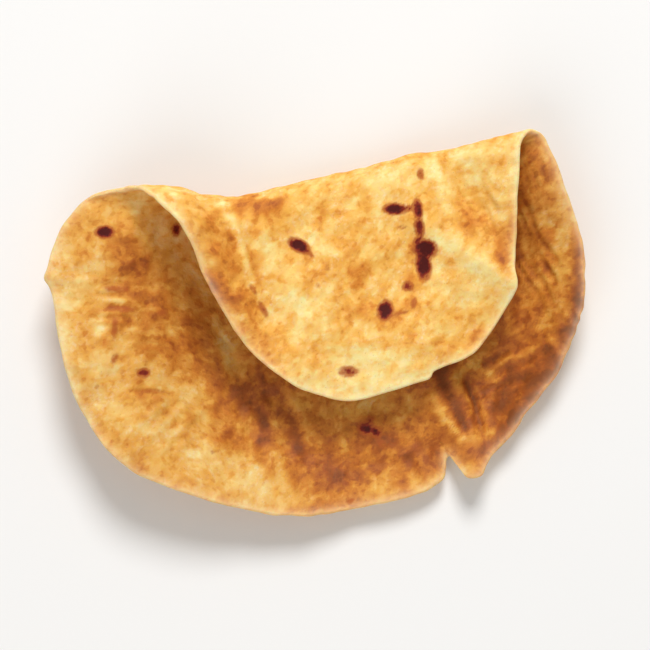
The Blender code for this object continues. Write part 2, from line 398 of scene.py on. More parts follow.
# Charred and browned spots: place in plan, half length, half width, turn in degrees, strength.
FLAP_SPOTS = (
    (-6.1, 25.1, 3.1, 1.7, -30, 1.15), (-2.6, 22.6, 2.0, 0.9, -48, 0.46), (3.3, 17.7, 1.3, 1.5, 0, 0.3),
    (0.0, 12.0, 1.2, 2.0, 35, 0.24), (25.6, 37.3, 3.2, 1.5, -3, 1.15), (30.2, 37.4, 1.8, 1.0, 0, 0.62),
    (28.1, 31.2, 2.2, 0.9, 0, 0.34), (33.2, 37.2, 1.4, 3.0, 8, 0.86), (33.7, 31.2, 1.5, 3.0, 12, 0.8),
    (33.4, 26.6, 1.5, 1.7, 0, 0.7), (35.6, 24.2, 3.2, 2.4, -10, 1.2), (35.1, 18.9, 2.0, 4.2, 6, 1.15),
    (30.0, 11.7, 1.9, 1.6, 0, 0.64), (22.4, 3.7, 2.1, 2.8, -10, 1.1), (24.6, 2.3, 2.0, 1.2, -10, 0.4),
    (27.9, 2.9, 2.4, 0.8, 8, 0.42), (31.9, 6.1, 1.1, 2.2, -10, 0.42), (34.1, 48.9, 1.3, 1.9, 10, 0.52),
    (10.3, -16.6, 3.2, 1.7, 0, 0.6), (-18.0, 4.0, 1.2, 2.8, 28, 0.48),
    (-21.3, 10.6, 1.0, 2.4, 30, 0.36), (40.8, 31.4, 1.4, 1.2, 0, 0.26),
    (41.2, -13.2, 3.0, 1.2, 30, 0.22), (-16.6, -4.6, 2.4, 1.6, -30, 0.22),
)
LOWER_SPOTS = (
    (-70.1, 29.5, 2.5, 1.6, 0, 1.15), (-47.9, 31.0, 1.2, 2.1, 0, 0.8), (-48.1, 31.0, 2.6, 2.8, 0, 0.3),
    (-52.8, 2.9, 1.5, 1.3, 0, 0.44), (-67.6, -12.2, 1.1, 2.0, -25, 0.44),
    (-58.7, -17.3, 1.8, 1.6, 10, 0.72), (-72.9, -21.3, 1.0, 1.0, 0, 0.34),
    (-55.5, -23.4, 5.0, 1.2, -6, 0.3), (-35.9, -44.4, 1.0, 0.8, 0, 0.36),
    (16.2, -35.8, 2.4, 1.9, -10, 0.92), (19.3, -37.0, 2.0, 1.4, -30, 0.84),
    (17.6, -33.4, 1.6, 2.8, 0, 0.46), (10.7, -61.0, 1.7, 1.0, 10, 0.46),
    (20.6, -40.0, 1.6, 2.6, 20, 0.32), (-66.8, 10.7, 4.4, 1.3, -6, 0.42),
    (-65.0, 4.0, 5.0, 1.2, -2, 0.38), (-67.5, -2.1, 1.1, 3.6, 0, 0.4),
    (-9.0, -37.5, 3.0, 4.0, 20, 0.12),
)
SPOT_SHARPNESS = 2.4            # a higher number makes the spots' edges sharper

STRAY_SPOTS = 26                # charred spots strewn over each of the hidden faces
STRAY_SPOT_SEED = 23
STRAY_SPOT_AREA = ((-78.0, -108.0), (78.0, 66.0))
STRAY_SPOT_HALF_LENGTHS = (1.0, 3.4)
STRAY_SPOT_HALF_WIDTHS = (1.0, 2.4)
STRAY_SPOT_STRENGTHS = (0.35, 1.1)

# Broad tones, partly browning and partly painted light and shade: place in plan, half length, half width,
# turn in degrees, change of toast.
FLAP_TONES_AND_SHADING = (
    # The left margin: a darker band, partly browning and partly painted shade on its slope, and a painted
    # highlight along its groove.
    (-32.5, 25.0, 11.0, 5.0, -66, 0.28), (-31.0, 9.0, 13.0, 4.4, -60, 0.42),
    (-19.0, -5.0, 8.0, 4.0, -50, 0.16), (-22.0, 17.0, 17.0, 1.6, -66, 0.04),
    (-34.5, 13.0, 8.0, 1.6, -64, 0.14), (-22.0, 22.0, 4.0, 2.0, -64, 0.1),
    (-24.0, 21.5, 18.0, 1.5, -69, -0.08), (-28.9, 28.5, 7.0, 1.2, -66, 0.2),
    (-21.2, 17.0, 5.5, 1.1, -70, 0.1), (-19.5, 16.0, 5.0, 3.0, -66, 0.14),
    (-30.0, 11.0, 5.0, 3.0, -60, 0.16), (-18.5, 24.0, 4.0, 3.0, -60, -0.2),
    (-14.0, -13.0, 7.0, 4.0, -40, 0.22), (-37.5, 27.5, 3.0, 4.0, -60, 0.2),
    (-25.0, 14.0, 7.0, 2.2, -64, 0.14), (-20.0, 5.0, 5.0, 4.0, -60, 0.24),
    # Along the fold: painted shade on the crest's left stretch, where it turns away from the light, among
    # browner and paler patches.
    (-42.0, 37.5, 5.0, 3.0, -20, 0.16), (-15.5, 36.5, 6.0, 4.0, 8, 0.08),
    (-21.0, 38.0, 7.5, 3.2, 8, 0.38), (-4.5, 35.0, 4.5, 6.0, 0, -0.1),
    (54.0, 50.0, 7.0, 7.0, -62, -0.16), (27.0, 47.0, 12.0, 6.0, 12, -0.18),
    (12.0, 41.5, 7.0, 2.6, 10, -0.04), (-5.0, 42.0, 10.0, 3.0, 14, 0.08),
    (63.6, 48.0, 2.0, 10.0, 0, -0.1), (2.0, 34.5, 3.0, 4.2, 0, 0.26), (34.0, 47.0, 4.5, 3.0, 10, 0.14),
    (55.0, 55.5, 8.0, 2.2, 12, -0.24),
    # The right margin and its creases: a painted highlight along the crease's crest and painted shade on
    # the facet above it.
    (60.0, 24.5, 8.0, 3.0, -62, 0.2), (41.0, 41.5, 7.0, 2.0, -74, -0.16),
    (51.0, 20.0, 14.0, 3.4, -35, -0.34), (56.7, 7.2, 4.0, 3.0, 0, -0.08),
    (63.4, 28.0, 2.4, 11.0, 0, 0.28), (55.5, 33.0, 4.0, 8.0, 20, 0.12), (65.0, 39.0, 2.4, 4.0, 0, 0.12),
    (44.0, 12.0, 8.0, 6.0, -30, -0.16), (49.0, 35.0, 8.0, 4.0, -50, 0.2),
    (41.5, 31.0, 3.4, 2.8, 0, 0.24), (47.0, 44.0, 5.0, 5.0, 0, 0.14),
    # The front.
    (39.5, -12.0, 4.0, 2.6, 25, 0.24), (52.0, -5.0, 7.0, 3.0, 40, 0.14),
    (12.0, -21.0, 24.0, 3.0, 2, -0.12), (20.0, -13.0, 14.0, 7.0, 0, -0.22),
    (55.0, -4.5, 3.0, 4.0, 50, 0.2), (11.0, -10.5, 3.5, 4.0, 0, -0.14),
    # The middle.
    (9.5, 31.5, 4.5, 5.0, 0, -0.18), (12.8, 16.5, 4.2, 4.6, 0, 0.26), (10.0, 4.0, 2.4, 8.0, 0, 0.2),
    (31.5, 3.5, 2.4, 2.4, 0, 0.18), (19.5, 3.0, 2.0, 5.0, 0, 0.1), (-1.0, 18.0, 4.0, 4.0, 40, 0.06),
    (-8.5, 10.0, 6.0, 7.0, 0, -0.28), (21.0, 25.0, 3.0, 9.0, 10, -0.06), (14.0, 7.0, 9.0, 6.0, 0, 0.12),
    (7.5, 26.5, 3.0, 2.2, 0, 0.26), (-2.0, 15.5, 3.0, 4.0, 30, 0.2), (27.0, 35.0, 5.0, 4.0, 0, 0.1),
    (-2.0, 1.0, 6.0, 6.0, 0, -0.2), (5.0, 23.0, 9.0, 2.2, -8, -0.2), (-4.0, 27.0, 3.0, 2.6, 0, -0.2),
    (3.5, 8.5, 3.0, 4.0, 0, -0.14), (31.0, 20.0, 2.4, 9.0, 0, 0.24), (26.0, 1.5, 8.0, 4.0, 0, 0.14),
    (38.0, 25.5, 4.0, 3.0, 0, -0.2),
)
LOWER_TONES_AND_SHADING = (
    # The broad middle, mostly under the flap: painted shade of the flap.
    (14.0, -4.0, 48.0, 30.0, 8, 0.38),
    # Inside the fold's open left end: painted light on the fold's back wall, which the lamps leave in
    # shade, and a painted shadow below the fold's left end.
    (-62.0, 41.5, 9.0, 2.6, 0, -0.06), (-51.0, 31.5, 13.0, 5.2, -58, -0.1),
    (-62.5, 21.5, 6.5, 7.0, 20, 0.3), (-74.0, 19.0, 5.5, 3.6, 0, -0.18),
    (-52.0, 13.5, 2.6, 5.0, 0, 0.12), (-48.5, 38.5, 5.0, 3.0, 0, 0.22),
    (-82.0, 14.5, 6.0, 2.0, 0, 0.12),
    # The left wall: painted shade in the zone left of the flap's left rim, painted light that makes the
    # flap's shadow along that rim lighter, and pale strokes on its wrinkles.
    (-40.0, 9.0, 15.0, 4.0, -58, -0.06), (-33.0, -7.0, 11.0, 4.0, -60, -0.18),
    (-84.0, -6.0, 4.0, 32.0, 8, -0.18), (-43.0, -4.0, 6.5, 15.0, 15, 0.24),
    (-61.0, 4.0, 9.0, 14.0, 10, 0.24), (-66.5, 7.1, 3.8, 1.3, 0, -0.34),
    (-71.5, -2.1, 1.8, 1.3, 0, -0.34), (-62.2, -2.5, 2.6, 1.1, 0, -0.28),
    (-73.0, 5.0, 5.0, 4.0, 0, 0.1), (-45.5, -4.0, 4.0, 3.0, -30, 0.1),
    (-31.0, -10.0, 5.0, 4.5, -50, -0.16), (-56.0, -9.0, 6.0, 3.0, 0, 0.18),
    (-80.0, 7.5, 7.0, 3.0, 0, -0.3),
    # The front left: painted shade at the edge of the flap's shadow, and lighter patches.
    (-72.5, -15.0, 4.5, 8.0, 0, -0.22), (-48.0, -27.0, 8.0, 5.0, -30, -0.12),
    (-62.0, -32.5, 14.0, 4.0, -30, -0.18), (-36.0, -45.5, 8.5, 4.0, -10, -0.2),
    (-27.0, -26.0, 9.0, 8.0, -30, 0.32), (-34.0, -48.0, 4.0, 3.0, 20, -0.08),
    (-25.0, -57.0, 5.0, 2.4, -12, -0.1), (-55.0, -40.0, 4.0, 2.4, -30, -0.08),
    (-44.0, -23.0, 4.5, 4.0, 0, -0.18), (-60.0, -13.0, 3.5, 3.0, 0, -0.18),
    (-29.0, -41.0, 7.0, 4.5, -30, 0.2), (-60.0, -25.0, 8.0, 2.4, -8, 0.14),
    # The right wall: painted shade over the wall and a painted shadow in a dark band along its rim.
    (62.0, -24.0, 16.0, 11.0, 35, 0.38), (77.0, 14.0, 10.0, 26.0, -5, 0.19),
    (72.0, 46.0, 6.0, 16.0, -10, 0.2), (80.0, -8.0, 8.0, 12.0, -35, 0.28),
    (60.0, -21.0, 5.0, 3.0, 20, -0.12), (78.5, 1.0, 4.0, 5.0, -30, -0.16),
    (76.5, 30.5, 3.0, 4.0, 0, 0.14), (87.0, 12.0, 2.2, 24.0, 0, 0.4), (74.0, 37.0, 3.5, 5.0, 0, -0.18),
    (66.0, 2.0, 4.0, 8.0, -10, 0.26), (76.0, -21.0, 14.0, 3.0, 52, 0.34),
    (62.0, -38.0, 10.0, 3.0, 45, 0.34), (82.5, 17.0, 3.0, 9.0, 0, -0.2),
    (67.0, 24.0, 2.4, 12.0, 0, 0.2), (60.0, -30.5, 3.5, 3.0, 0, 0.2),
    # The pleat, the notch and the tab: painted highlights on the pleat's ridges, painted shade in its
    # valleys, and a painted shadow under the flap's rim above the pleat.
    (36.0, -44.0, 6.0, 11.0, 20, 0.3), (41.0, -15.5, 5.4, 3.2, 0, 0.5),
    (43.5, -34.5, 4.0, 3.0, -50, 0.18), (49.0, -34.0, 6.0, 12.0, 22, 0.2),
    (44.6, -26.5, 10.0, 1.5, -65, 0.14), (51.5, -47.5, 3.5, 3.5, 0, 0.06),
    (51.5, -33.0, 3.0, 4.0, 0, -0.16), (45.2, -35.0, 5.0, 1.3, -55, -0.24),
    (51.0, -17.5, 5.0, 3.4, 10, -0.2), (44.0, -17.0, 5.0, 2.4, 25, -0.22),
    (57.5, -14.5, 5.0, 2.4, 20, 0.16),
    # The front: painted shade of the flap over the lower layer in front of it, made lighter right under
    # the flap's rim.
    (-20.5, -53.0, 7.0, 7.0, -8, -0.26), (-8.0, -38.0, 2.6, 7.0, 12, 0.22),
    (6.5, -54.0, 4.0, 7.0, -10, 0.28), (14.0, -50.0, 24.0, 9.0, 3, 0.28),
    (-7.5, -45.0, 3.4, 4.0, 0, 0.16), (15.0, -35.0, 22.0, 5.0, 8, 0.12),
    (21.0, -41.0, 7.0, 3.6, -15, 0.22), (12.0, -30.0, 6.0, 3.4, 8, -0.16),
    (18.0, -26.5, 13.0, 4.0, 12, -0.16), (0.0, -63.0, 30.0, 2.6, 5, 0.12),
    (22.0, -56.0, 7.0, 2.4, 10, -0.1), (29.0, -42.5, 4.0, 5.0, 0, -0.08),
    (-18.5, -36.0, 3.0, 7.0, 10, 0.42), (-20.0, -40.0, 2.6, 3.6, 10, 0.22),
    (-4.0, -50.0, 5.0, 9.0, 8, 0.1),
)

FLAP_TOAST = 0.33
LOWER_TOAST = 0.385
HIDDEN_TOAST = 0.45
HIGH_TOAST = 0.13               # a face browns more where it stands out
FOLD_HIGHLIGHT_AND_SHADE = 0.34            # painted light and shade: the ridges are painted paler and the valleys between them browner
OUTER_RIM_PALENESS = 0.16
INNER_RIM_PALENESS = 0.06
RIM_PALE_WIDTH = 1.8
EDGE_WIDTH = 1.2                # how far the flour on the rim's edge reaches in
FLOUR_LEVEL = 0.5
FOLD_TONE_FADE = 10.0           # the layers' tones give way to an even one on the fold
FOLD_FLOUR_FADE = 36.0          # the inside of the fold carries little flour; partly painted light, as this warms its colour like light bounced inside the fold
INNER_SHIFT = 500.0             # reads the random fields elsewhere for the inner face

FLAP_LOOKS = (FLAP_TOAST, FLAP_TONES_AND_SHADING, FLAP_SPOTS, FLAP_FOLDS)
LOWER_LOOKS = (LOWER_TOAST, LOWER_TONES_AND_SHADING, LOWER_SPOTS, LOWER_FOLDS)


def oval(x, y, middle_x, middle_y, half_length, half_width, turn):
    """Distance from the middle of a turned oval, 1 on its edge."""
    cos, sin = math.cos(math.radians(turn)), math.sin(math.radians(turn))
    off_x, off_y = x - middle_x, y - middle_y
    return np.hypot((off_x * cos + off_y * sin) / half_length, (off_y * cos - off_x * sin) / half_width)


def spots(x, y, rows):
    """Burn mask of the given spots: half their strength at their edge."""
    mask = np.zeros(len(x))
    for *place, strength in rows:
        mask = np.maximum(mask, strength * 0.5 ** (oval(x, y, *place) ** SPOT_SHARPNESS))
    return mask


def tones(x, y, rows):
    return sum(change * np.exp(-oval(x, y, *place) ** 2) for *place, change in rows)


def stray_spots(across, along, seed):
    rng = np.random.default_rng(seed)
    rows = [
        (*rng.uniform(*STRAY_SPOT_AREA), rng.uniform(*STRAY_SPOT_HALF_LENGTHS),
         rng.uniform(*STRAY_SPOT_HALF_WIDTHS), rng.uniform(0.0, 180.0), rng.uniform(*STRAY_SPOT_STRENGTHS))
        for _ in range(STRAY_SPOTS)
    ]
    return spots(across, along, rows)


def face_masks(across, along, x, y, relief, to_rim, outer):
    """Toast with its painted light and shade, burn and flour of one face of the bread. The outer face
    shows on the flap, the inner one on the lower layer, and the rest of each lies hidden."""
    sheet = np.column_stack([across, along, np.full(len(x), 0.0 if outer else INNER_SHIFT)])
    shows = (along > 0.0) == outer
    off_fold = smooth_step(np.abs(along) / FOLD_TONE_FADE)
    level, tone_rows, spot_rows, layer_folds = FLAP_LOOKS if outer else LOWER_LOOKS

    on_fold = (FLAP_TOAST + HIDDEN_TOAST) / 2
    # The tone tables paint light and shade into the toast as well as browning.
    drawn = np.where(shows, level + tones(x, y, tone_rows), HIDDEN_TOAST)
    toast_and_shading = on_fold + off_fold * (drawn - on_fold) + uneven(sheet, UNEVEN_TOAST)
    toast_and_shading += HIGH_TOAST * np.clip(relief if outer else -relief, -1.0, 1.0)
    # Painted light and shade: the ridges are made lighter and the valleys darker.
    toast_and_shading -= FOLD_HIGHLIGHT_AND_SHADE * off_fold * np.where(shows, folds(x, y, *layer_folds), 0.0)
    toast_and_shading -= (OUTER_RIM_PALENESS if outer else INNER_RIM_PALENESS) * np.exp(-to_rim / RIM_PALE_WIDTH)

    stray = off_fold * stray_spots(across, along, STRAY_SPOT_SEED if outer else STRAY_SPOT_SEED + 1)
    burn = np.where(shows, spots(x, y, spot_rows), stray)

    flour = FLOUR_LEVEL + uneven(sheet, UNEVEN_FLOUR)
    # Less flour inside the fold: partly painted warm light bounced inside the fold.
    if not outer:
        flour *= smooth_step(np.abs(along) / FOLD_FLOUR_FADE)
    return toast_and_shading, burn, np.clip(flour, 0.0, 1.0)


# ---------------------------------------------------------------- the mesh

# Each face of the bread is a round island on the map, and their middles lie on its diagonal.
UV_REACH = 0.57
UV_OUTER = 0.295
UV_INNER = 0.705


def distance_to_loop(points, loop):
    """Distance of each point from the closed line through the points of the loop."""
    nearest = np.full(len(points), np.inf)
    for start, end in zip(loop, np.roll(loop, -1, axis=0)):
        run = end - start
        share = np.clip((points - start) @ run / (run @ run), 0.0, 1.0)
        gap = points - start - share[:, None] * run
        nearest = np.minimum(nearest, np.sum(gap * gap, axis=1))
    return np.sqrt(nearest)


def unit(vectors):
    return vectors / np.linalg.norm(vectors, axis=1)[:, None]


def fine_sheet():
    """Middle of the unrolled sheet, and the points of its grid, row by row."""
    ticks = np.linspace(-1.0, 1.0, CELLS + 1)
    square = np.stack(np.meshgrid(ticks, ticks), axis=-1).reshape(-1, 2)
    disc = square * np.sqrt(1.0 - square[:, ::-1] ** 2 / 2.0)
    centre, angles, reaches = sheet_outline()
    turn = np.arctan2(disc[:, 1], disc[:, 0])
    reach = spread_out(turn, np.hypot(disc[:, 0], disc[:, 1]), angles, reaches)
    return centre, centre + np.column_stack([np.cos(turn), np.sin(turn)]) * reach[:, None]


def base_surface(points):
    """The bent sheet's outer face at the given points of the sheet."""
    return np.column_stack(bend_sheet(points[:, 0], points[:, 1]))


def slope(sheet, step):
    """Rise of the surface from a step before each point of the sheet to a step past it."""
    return base_surface(sheet + step) - base_surface(sheet - step)


def store(mesh, name, values, domain="POINT"):
    """Puts a number or a vector for each point or face on the mesh, for the material to read."""
    kind, field = ("FLOAT", "value") if values.ndim == 1 else ("FLOAT_VECTOR", "vector")
    mesh.attributes.new(name, kind, domain).data.foreach_set(field, values.ravel())


def half_thickness(sheet, to_rim):
    thick = RIM_THICKNESS + (THICKNESS - RIM_THICKNESS) * smooth_step(to_rim / RIM_TAPER)
    return (thick + uneven(sheet, UNEVEN_THICKNESS)) / 2


def skin_points(place, normal, outward, relief, half, ring):
    """Points of the outer face, of the inner face, and of the rows round the rim."""
    middle = place + normal * (THICKNESS / 2 - relief)[:, None]
    outer = middle - normal * half[:, None]
    inner = middle + normal * half[:, None]
    outer[:, 2] = np.maximum(outer[:, 2], 0.0)
    rows = [outer, inner]
    for level in range(1, RIM_STEPS + 1):
        angle = math.pi * level / (RIM_STEPS + 1)
        bulge = outward * (half[ring] * math.sin(angle))[:, None]
        rows.append(middle[ring] + bulge - normal[ring] * (half[ring] * math.cos(angle))[:, None])
    return np.concatenate(rows)


def skin_faces(index, ring):
    """Corners of each polygon, and the face of the bread that it is on: 0 the outer, 1 the inner one."""
    count = index.size
    cells = np.stack([index[:-1, :-1], index[:-1, 1:], index[1:, 1:], index[1:, :-1]], axis=-1)
    cells = cells.reshape(-1, 4)
    rows = [2 * count + level * len(ring) + np.arange(len(ring)) for level in range(RIM_STEPS)]
    levels = [ring, *rows, ring + count]
    rim = [
        np.stack([low, np.roll(low, -1), np.roll(high, -1), high], axis=-1)
        for low, high in zip(levels, levels[1:])
    ]
    inner_side = np.concatenate([
        np.zeros(len(cells)), np.ones(len(cells)),
        *(np.full(len(ring), float(2 * level >= RIM_STEPS + 1)) for level in range(RIM_STEPS + 1)),
    ])
    return np.concatenate([cells[:, ::-1], cells + count, *rim]), inner_side


def paint_masks(mesh, sheet, place, relief, to_rim, ring):
    """Stores the masks. Round the rim they pass from the outer face's values to the inner face's."""
    masks = [
        face_masks(*sheet.T, place[:, 0], place[:, 1], relief, to_rim, outer_face)
        for outer_face in (True, False)
    ]
    for name, of_outer, of_inner in zip(("toast_and_shading", "burn", "flour"), *masks):
        rim_rows = [
            of_outer[ring] + (of_inner[ring] - of_outer[ring]) * level / (RIM_STEPS + 1)
            for level in range(1, RIM_STEPS + 1)
        ]
        store(mesh, name, np.concatenate([of_outer, of_inner, *rim_rows]))
    edge = np.exp(-to_rim / EDGE_WIDTH)
    store(mesh, "edge", np.concatenate([edge, edge, np.ones(RIM_STEPS * len(ring))]))


def fine_mesh():
    """The bread: a grid for its outer face, one for its inner face, and rows round the rim."""
    centre, sheet = fine_sheet()
    index = np.arange(len(sheet)).reshape(CELLS + 1, CELLS + 1)
    ring = np.concatenate([index[0, :-1], index[:-1, -1], index[-1, :0:-1], index[:0:-1, 0]])
    to_rim = distance_to_loop(sheet, sheet[ring])

    # The normal points to the inner face. At the rim, outward is square to it and leads off the bread.
    place = base_surface(sheet)
    slope_across = slope(sheet, (SLOPE_STEP, 0.0))
    slope_along = slope(sheet, (0.0, SLOPE_STEP))
    normal = unit(np.cross(slope_across, slope_along))
    spoke = unit(sheet[ring] - centre)
    outward = slope_across[ring] * spoke[:, :1] + slope_along[ring] * spoke[:, 1:]
    outward = unit(outward - normal[ring] * np.sum(outward * normal[ring], axis=1)[:, None])

    relief = fine_relief(*sheet.T, place[:, 0], place[:, 1])
    points = skin_points(place, normal, outward, relief, half_thickness(sheet, to_rim), ring)
    points[:, :2] -= PLAN_ORIGIN
    faces, inner_side = skin_faces(index, ring)
    mesh = bpy.data.meshes.new("chapati_bread")
    mesh.from_pydata((points * MM).tolist(), [], faces.tolist())
    mesh.shade_smooth()
    store(mesh, "inner_side", inner_side, "FACE")
    paint_masks(mesh, sheet, place, relief, to_rim, ring)

    # Each point's place on the unrolled sheet, for the material's noises and for the map.
    flat = np.concatenate([sheet, sheet, *([sheet[ring] + spoke] * RIM_STEPS)])
    store(mesh, "sheet_place", np.column_stack([flat, np.zeros(len(flat))]))
    island = np.where(np.repeat(inner_side, 4)[:, None] > 0.5, UV_INNER, UV_OUTER)
    uv = (flat[faces.reshape(-1)] - centre) * UV_REACH / np.ptp(sheet, axis=0).max() + island
    mesh.uv_layers.new(name="OFBake").data.foreach_set("uv", uv.ravel())
    return mesh


# ---------------------------------------------------------------- the material


def linear(red, green, blue):
    """A colour given in sRGB, 0 to 255, as Blender's linear colour."""
    parts = [value / 255.0 for value in (red, green, blue)]
    return tuple(p / 12.92 if p <= 0.04045 else ((p + 0.055) / 1.055) ** 2.4 for p in parts) + (1.0,)


class Nodes:
    """Adds nodes to a material. add() makes one, with its settings, and with its inputs by name, or by
    number as i0 and i1. An input is a constant or the socket that it is linked to."""

    def __init__(self, material):
        material.use_nodes = True
        self.tree = material.node_tree

    def put(self, value, socket):
        if isinstance(value, bpy.types.NodeSocket):
            self.tree.links.new(value, socket)
        else:
            socket.default_value = value

    def add(self, kind, settings=(), **inputs):
        node = self.tree.nodes.new("ShaderNode" + kind)
        for name, value in dict(settings).items():
            setattr(node, name, value)
        for name, value in inputs.items():
            self.put(value, node.inputs[int(name[1:]) if name[1:].isdigit() else name])
        return node

    def math(self, operation, first, second):
        return self.add("Math", {"operation": operation}, i0=first, i1=second).outputs[0]

    def swing(self, noise, amount):
        """A noise about 0 instead of 0.5, times an amount."""
        return self.math("MULTIPLY", self.math("SUBTRACT", noise, 0.5), amount)

    def range(self, value, low, high, to_low=0.0, to_high=1.0):
        """Smooth rise from to_low, where the value is low, to to_high, where it is high."""
        node = self.add("MapRange", {"interpolation_type": "SMOOTHSTEP"}, Value=value)
        ends = {"From Min": low, "From Max": high, "To Min": to_low, "To Max": to_high}
        for name, number in ends.items():
            node.inputs[name].default_value = number
        return node.outputs[0]

    def mix(self, share, first, second, blend="MIX"):
        """Mix of two colours, which are a Mix node's inputs 6 and 7."""
        node = self.add("Mix", {"data_type": "RGBA", "blend_type": blend})
        for number, value in ((0, share), (6, first), (7, second)):
            self.put(value, node.inputs[number])
        return node.outputs[2]

    def attribute(self, name, output="Fac"):
        return self.add("Attribute", {"attribute_name": name}).outputs[output]

    def noise(self, place, scale, detail, roughness=0.5):
        node = self.add("TexNoise", Vector=place, Scale=scale, Detail=detail, Roughness=roughness)
        return node.outputs["Fac"]

    def cells(self, place, scale):
        """Distance from the nearest of many scattered points."""
        return self.add("TexVoronoi", Vector=place, Scale=scale).outputs["Distance"]

    def ramp(self, value, stops):
        node = self.add("ValToRGB", Fac=value)
        elements = node.color_ramp.elements
        while len(elements) < len(stops):
            elements.new(1.0)
        for element, (position, colour) in zip(elements, stops):
            element.position = position
            element.color = colour
        return node.outputs["Color"]


TOAST_COLOURS = (
    (0.0, linear(252, 228, 158)), (0.2, linear(247, 206, 120)), (0.4, linear(238, 176, 76)),
    (0.6, linear(215, 135, 45)), (0.8, linear(178, 95, 30)), (1.0, linear(142, 74, 24)),
)
SCORCH_COLOUR = linear(180, 92, 34)
SINGE_COLOUR = linear(138, 40, 18)
CHAR_COLOUR = linear(80, 8, 4)
FLOUR_COLOUR = linear(252, 238, 205)
BRAN_COLOUR = linear(150, 92, 44)
INNER_SHADE_TINT = (0.88, 0.88, 0.90, 1.0)     # painted shade: darkens the inner face, the lower layer's top, which is lit less than the flap's top
INNER_NOISE_SHIFT = 400.0       # reads the noises elsewhere for the inner face

# Noises on the unrolled sheet: bumps per millimetre, detail, roughness. Cells: points per millimetre.
BLOTCHES = (0.16, 3.0, 0.55)
PATCHES = (0.34, 2.0)
GRAIN = (0.7, 3.0, 0.6)
FINE = (2.6, 2.0, 0.6)
BROWN_ISLANDS = (0.42, 1.5)
PALE_ISLANDS = (0.27, 1.5)
RAGGED_SPOTS = (0.6, 2.0)

BRAN_CELLS = 0.62
PORE_CELLS = 0.9

# How far each noise moves the toast, the spots' edges and the roughness.
BLOTCH_TOAST = 0.22
PATCH_TOAST = 0.25
GRAIN_TOAST = 0.22
FINE_TOAST = 0.09
ISLAND_TOAST = 0.10
SPOT_RAGGEDNESS = 1.1
FINE_ROUGHNESS = 0.16

# How much of each colour goes on where it is strongest.
FLOUR_SHARE = 0.42
EDGE_FLOUR_SHARE = 0.28
BRAN_SHARE = 0.22
SCORCH_SHARE = 0.85

# Bands of a value over which something comes in, from none to full.
BROWN_ISLAND_BAND = (0.53, 0.65)
PALE_ISLAND_BAND = (0.52, 0.64)
FLOUR_GRAIN_BAND = (0.46, 0.66)
FLOUR_TOAST_BAND = (0.60, 0.22)
BRAN_BAND = (0.16, 0.07)
SCORCH_BAND = (0.12, 0.40)
SINGE_BAND = (0.40, 0.62)
CHAR_BAND = (0.56, 0.90)
PORE_BAND = (0.05, 0.35)

# Roughness of the palest and of the brownest bread, and the toast that these have.
ROUGHNESS = (0.80, 0.60)
ROUGHNESS_BAND = (0.1, 0.9)

# Heights of the bump, in units of BUMP_HEIGHT.
BLOTCH_HEIGHT = 0.9
GRAIN_HEIGHT = 0.5
FINE_HEIGHT = 0.20
PORE_HEIGHT = 0.12
CHAR_DEPTH = 0.35
BUMP_HEIGHT = 0.6 * MM
BUMP_STRENGTH = 0.55


def browning(nodes, place, blotches, grain, fine):
    """The toast mask, which also carries painted light and shade, with the mottling of the baked surface.
    """
    patches = nodes.noise(place, *PATCHES)
    mottling = ((blotches, BLOTCH_TOAST), (patches, PATCH_TOAST), (grain, GRAIN_TOAST), (fine, FINE_TOAST))
    toast_and_shading = nodes.attribute("toast_and_shading")
    for noise, amount in mottling:
        toast_and_shading = nodes.math("ADD", toast_and_shading, nodes.swing(noise, amount))
    browner = nodes.range(nodes.noise(place, *BROWN_ISLANDS), *BROWN_ISLAND_BAND, 0.0, ISLAND_TOAST)
    paler = nodes.range(nodes.noise(place, *PALE_ISLANDS), *PALE_ISLAND_BAND, 0.0, ISLAND_TOAST)
    return nodes.math("SUBTRACT", nodes.math("ADD", toast_and_shading, browner), paler)


def crust_colour(nodes, place, toast_and_shading, grain, side):
    """Browned dough, with flour, bran flecks and a floury edge, and the inner face darkened with painted
    shade.
    """
    colour = nodes.ramp(toast_and_shading, TOAST_COLOURS)
    dusting = nodes.math("MULTIPLY", nodes.attribute("flour"), nodes.range(grain, *FLOUR_GRAIN_BAND))
    dusting = nodes.math("MULTIPLY", dusting, nodes.range(toast_and_shading, *FLOUR_TOAST_BAND))
    colour = nodes.mix(nodes.math("MULTIPLY", dusting, FLOUR_SHARE), colour, FLOUR_COLOUR)
    flecks = nodes.range(nodes.cells(place, BRAN_CELLS), *BRAN_BAND)
    colour = nodes.mix(nodes.math("MULTIPLY", flecks, BRAN_SHARE), colour, BRAN_COLOUR)
    edge = nodes.math("MULTIPLY", nodes.attribute("edge"), EDGE_FLOUR_SHARE)
    # Painted shade: the inner face is darkened by a tint.
    return nodes.mix(side, nodes.mix(edge, colour, FLOUR_COLOUR), INNER_SHADE_TINT, "MULTIPLY")


def scorched(nodes, place, colour):
    """The colour with its burnt spots, and how charred each point is."""
    burn = nodes.attribute("burn")
    ragged = nodes.swing(nodes.noise(place, *RAGGED_SPOTS), SPOT_RAGGEDNESS)
    burn = nodes.math("ADD", burn, nodes.math("MULTIPLY", ragged, burn))
    scorch = nodes.math("MULTIPLY", nodes.range(burn, *SCORCH_BAND), SCORCH_SHARE)
    char = nodes.range(burn, *CHAR_BAND)
    colour = nodes.mix(scorch, colour, SCORCH_COLOUR)
    colour = nodes.mix(nodes.range(burn, *SINGE_BAND), colour, SINGE_COLOUR)
    return nodes.mix(char, colour, CHAR_COLOUR), char


